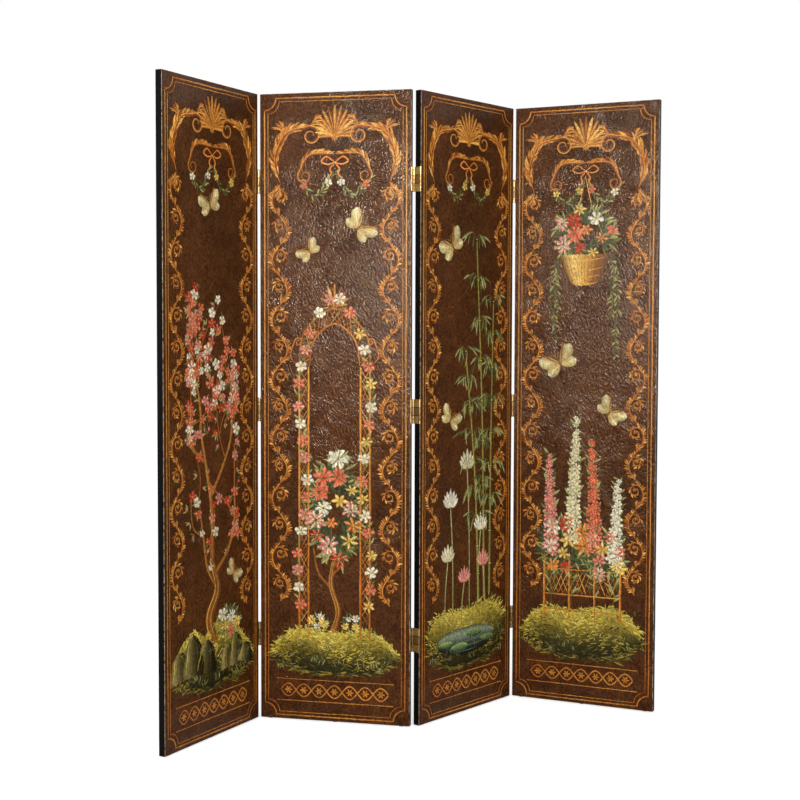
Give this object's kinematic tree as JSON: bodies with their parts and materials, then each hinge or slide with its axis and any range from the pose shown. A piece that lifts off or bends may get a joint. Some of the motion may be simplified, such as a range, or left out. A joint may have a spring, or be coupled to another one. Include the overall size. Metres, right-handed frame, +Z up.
{
  "type": "folding screen",
  "caption": "Free-standing folding room screen: tall painted leather panels on dark wooden frames, joined by two-way brass hinges so each pair folds either way.",
  "frame": {"origin": "middle of the standing screen's outline in plan, on the floor under its glides", "axes": "+X to the right seen from the painted side, +Y to the back, +Z up"},
  "size_m": [1.4152, 0.6732, 1.829],
  "materials": {
    "painted_leather": "varnished dark brown leather with a fine crushed grain, painted with flowers and scrolls",
    "frame_lacquer": "black paint, rubbed through at the edges",
    "board_wood": "bare softwood, hidden behind the leather",
    "back_lacquer": "plain dark paint",
    "hinge_brass": "worn brass",
    "link_brass": "worn brass",
    "glide_plastic": "pale nylon, scuffed"
  },
  "bodies": {
    "panel_1": {"panel_1_stile_left": "frame_lacquer", "panel_1_stile_right": "frame_lacquer", "panel_1_bottom_rail": "frame_lacquer", "panel_1_top_rail": "frame_lacquer", "panel_1_cross_rails": "frame_lacquer", "panel_1_front_board": "board_wood", "panel_1_back_board": "back_lacquer", "panel_1_painted_leather": "painted_leather", "panel_1_glides": "glide_plastic", "hinge_12_leaves_left": "hinge_brass"},
    "panel_2": {"panel_2_stile_left": "frame_lacquer", "panel_2_stile_right": "frame_lacquer", "panel_2_bottom_rail": "frame_lacquer", "panel_2_top_rail": "frame_lacquer", "panel_2_cross_rails": "frame_lacquer", "panel_2_front_board": "board_wood", "panel_2_back_board": "back_lacquer", "panel_2_painted_leather": "painted_leather", "panel_2_glides": "glide_plastic", "hinge_12_leaves_right": "hinge_brass", "hinge_23_leaves_left": "hinge_brass"},
    "panel_3": {"panel_3_stile_left": "frame_lacquer", "panel_3_stile_right": "frame_lacquer", "panel_3_bottom_rail": "frame_lacquer", "panel_3_top_rail": "frame_lacquer", "panel_3_cross_rails": "frame_lacquer", "panel_3_front_board": "board_wood", "panel_3_back_board": "back_lacquer", "panel_3_painted_leather": "painted_leather", "panel_3_glides": "glide_plastic", "hinge_23_leaves_right": "hinge_brass", "hinge_34_leaves_left": "hinge_brass"},
    "panel_4": {"panel_4_stile_left": "frame_lacquer", "panel_4_stile_right": "frame_lacquer", "panel_4_bottom_rail": "frame_lacquer", "panel_4_top_rail": "frame_lacquer", "panel_4_cross_rails": "frame_lacquer", "panel_4_front_board": "board_wood", "panel_4_back_board": "back_lacquer", "panel_4_painted_leather": "painted_leather", "panel_4_glides": "glide_plastic", "hinge_34_leaves_right": "hinge_brass"},
    "link_12": {"hinge_12_links": "link_brass"},
    "link_23": {"hinge_23_links": "link_brass"},
    "link_34": {"hinge_34_links": "link_brass"}
  },
  "joints": [
    {"name": "fold_23_forward", "type": "hinge", "parent": "link_23", "child": "panel_3", "pos_m": [-0.00624, -0.03208, 0.9145], "axis": [0, 0, 1], "range_deg": [-165, 0]},
    {"name": "fold_23_backward", "type": "hinge", "parent": "link_23", "child": "panel_2", "pos_m": [-0.02462, -0.01665, 0.9145], "axis": [0, 0, -1], "range_deg": [-63, 117]},
    {"name": "fold_12_forward", "type": "hinge", "parent": "panel_2", "child": "link_12", "pos_m": [-0.47531, 0.06277, 0.9145], "axis": [0, 0, 1], "range_deg": [-75, 105]},
    {"name": "fold_12_backward", "type": "hinge", "parent": "link_12", "child": "panel_1", "pos_m": [-0.4965, 0.07403, 0.9145], "axis": [0, 0, 1], "range_deg": [-180, 0]},
    {"name": "fold_34_backward", "type": "hinge", "parent": "panel_3", "child": "link_34", "pos_m": [0.26913, 0.33343, 0.9145], "axis": [0, 0, -1], "range_deg": [-180, 0]},
    {"name": "fold_34_forward", "type": "hinge", "parent": "link_34", "child": "panel_4", "pos_m": [0.28752, 0.318, 0.9145], "axis": [0, 0, -1], "range_deg": [-75, 105]}
  ]
}
